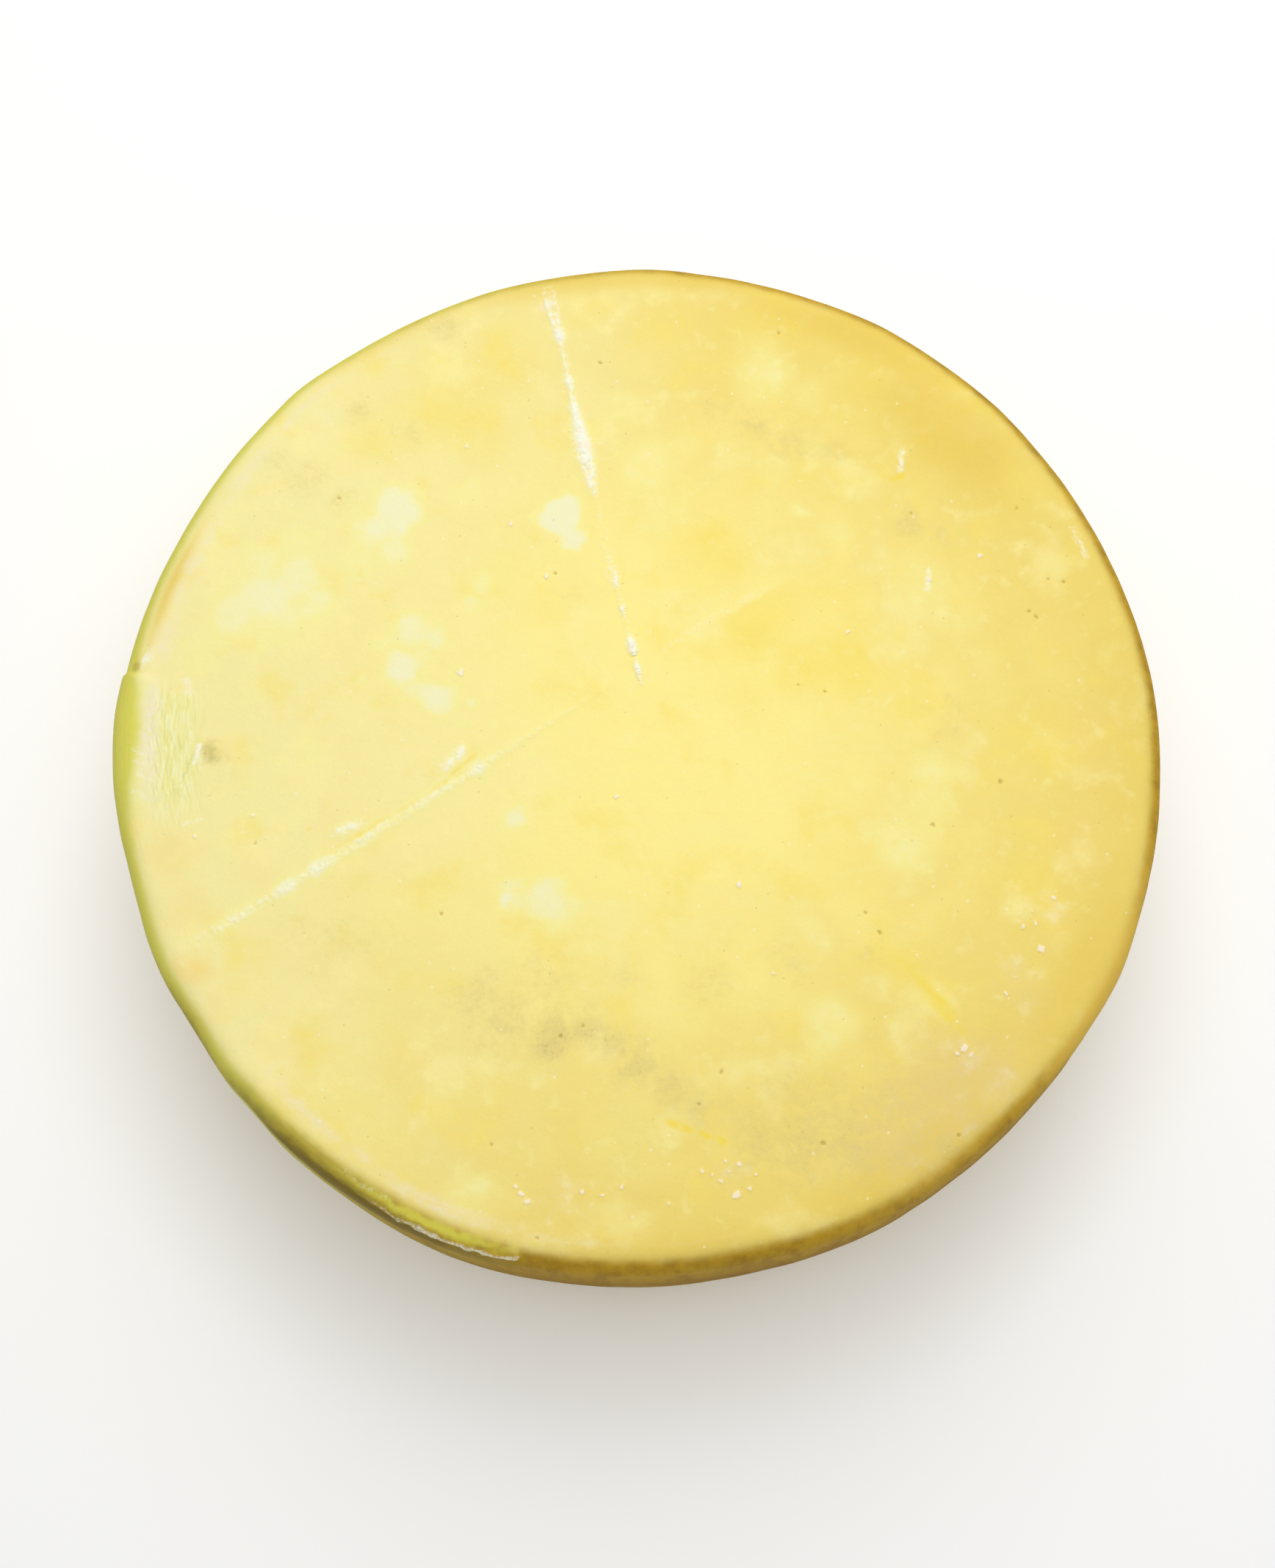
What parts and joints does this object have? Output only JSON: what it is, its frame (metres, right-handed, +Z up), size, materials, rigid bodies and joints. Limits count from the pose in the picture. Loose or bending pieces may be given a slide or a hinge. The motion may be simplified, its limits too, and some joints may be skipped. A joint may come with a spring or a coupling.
{
  "type": "roumy cheese wheel",
  "caption": "Whole round wheel of hard pressed yellow cheese with rounded edges, cloth creases on its flat top and a pressed lip of rind on its edge.",
  "frame": {"origin": "middle of the flat foot that the wheel stands on", "axes": "+Z up along the wheel's axis, +X to the right and -Y towards the viewer when the top is looked down on"},
  "size_m": [0.3408, 0.3404, 0.0958],
  "materials": {
    "rind": "waxed yellow cheese rind with a soft satin sheen, paler patches and small pits"
  },
  "bodies": {
    "root": {"cheese_wheel": "rind"}
  },
  "joints": []
}
